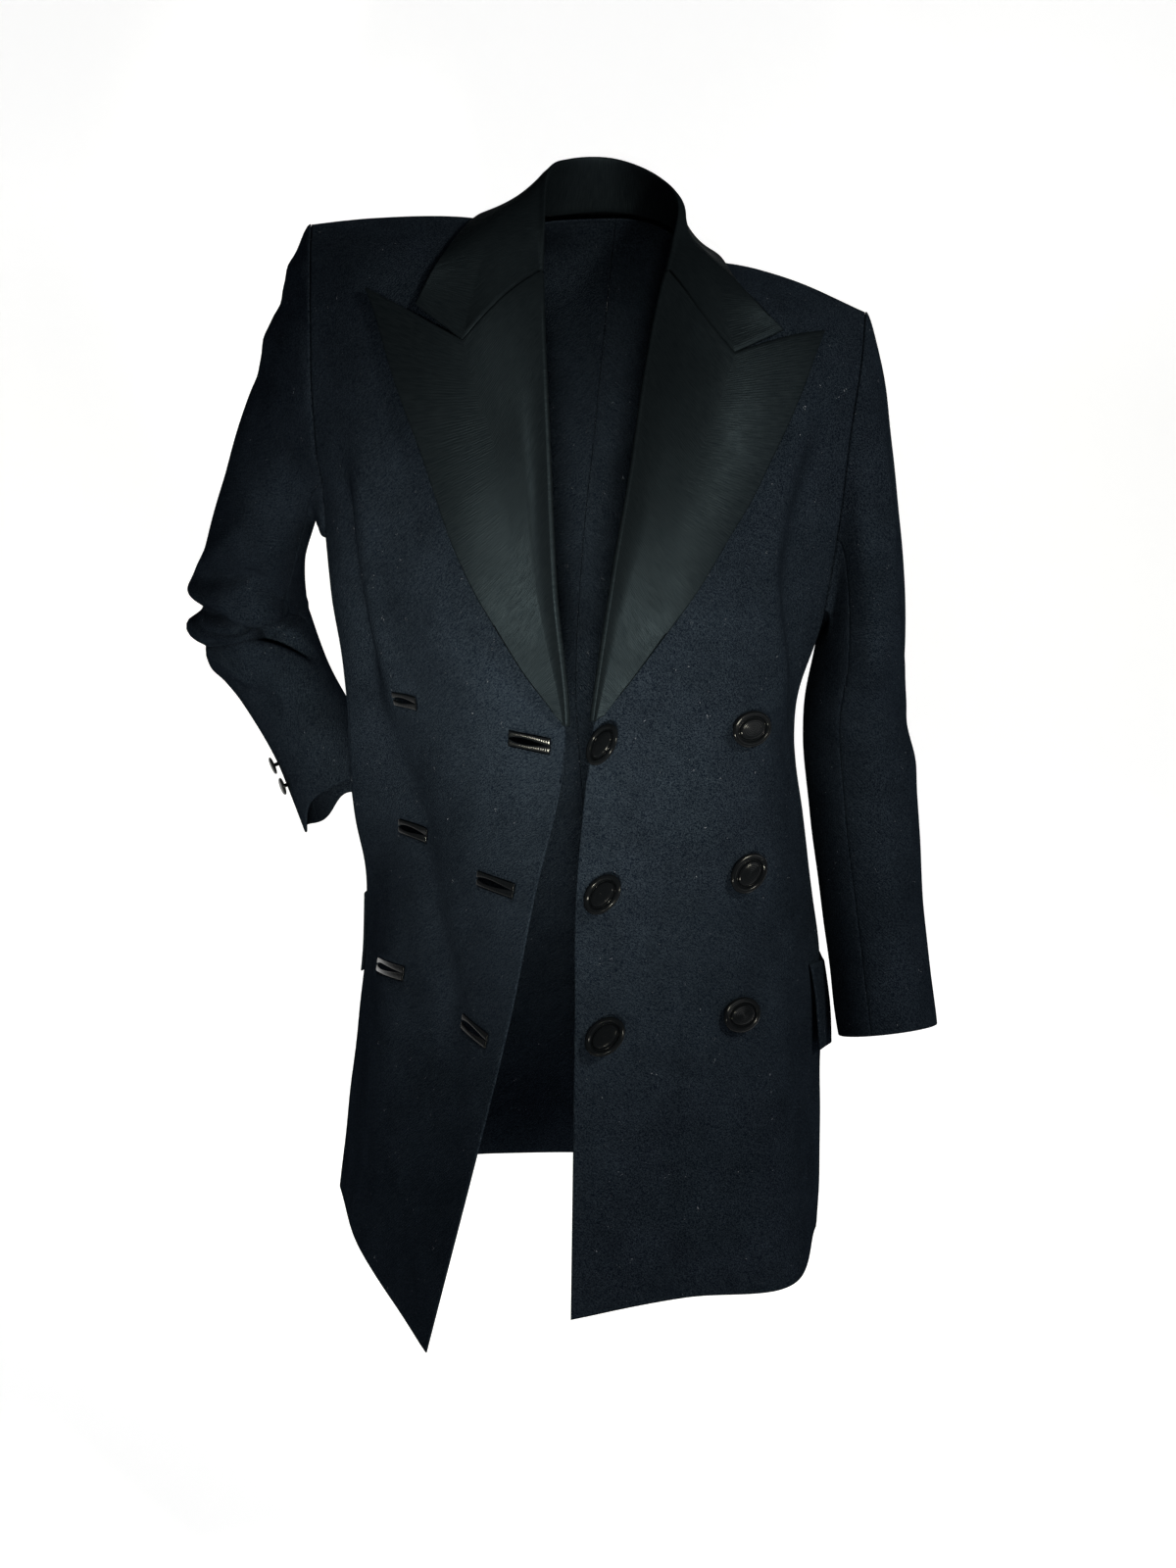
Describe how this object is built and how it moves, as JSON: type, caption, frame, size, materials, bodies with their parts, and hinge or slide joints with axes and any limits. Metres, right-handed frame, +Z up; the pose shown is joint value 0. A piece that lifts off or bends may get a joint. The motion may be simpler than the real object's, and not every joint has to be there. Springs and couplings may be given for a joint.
{
  "type": "double-breasted blazer",
  "caption": "Long tailored jacket worn open, with satin peaked lapels, covered buttons in two columns, bound buttonholes, hip flaps and one bent sleeve.",
  "frame": {"origin": "between the shoulders at the height of the neck seam, where the wearer's shoulders carry the jacket", "axes": "+Z up, -Y the way that the wearer faces, +X towards the wearer's left"},
  "size_m": [0.6175, 0.4441, 0.888],
  "materials": {
    "wool": "very dark matt wool with a fine nap",
    "satin": "black satin with a soft sheen"
  },
  "bodies": {
    "root": {"front_right": "wool", "front_left": "wool", "side_right": "wool", "side_left": "wool", "back_right": "wool", "back_left": "wool", "sleeve_top_right": "wool", "sleeve_under_right": "wool", "sleeve_top_left": "wool", "sleeve_under_left": "wool", "flap_right": "wool", "flap_left": "wool", "lapel_right": "satin", "lapel_left": "satin", "collar": "satin", "buttonhole_1": "satin", "buttonhole_2": "satin", "buttonhole_3": "satin", "buttonhole_4": "satin", "buttonhole_5": "satin", "buttonhole_6": "satin", "button_1": "satin", "button_2": "satin", "button_3": "satin", "button_4": "satin", "button_5": "satin", "button_6": "satin", "cuff_button_right_1": "satin", "cuff_button_right_2": "satin", "cuff_button_left_1": "satin", "cuff_button_left_2": "satin"}
  },
  "joints": []
}
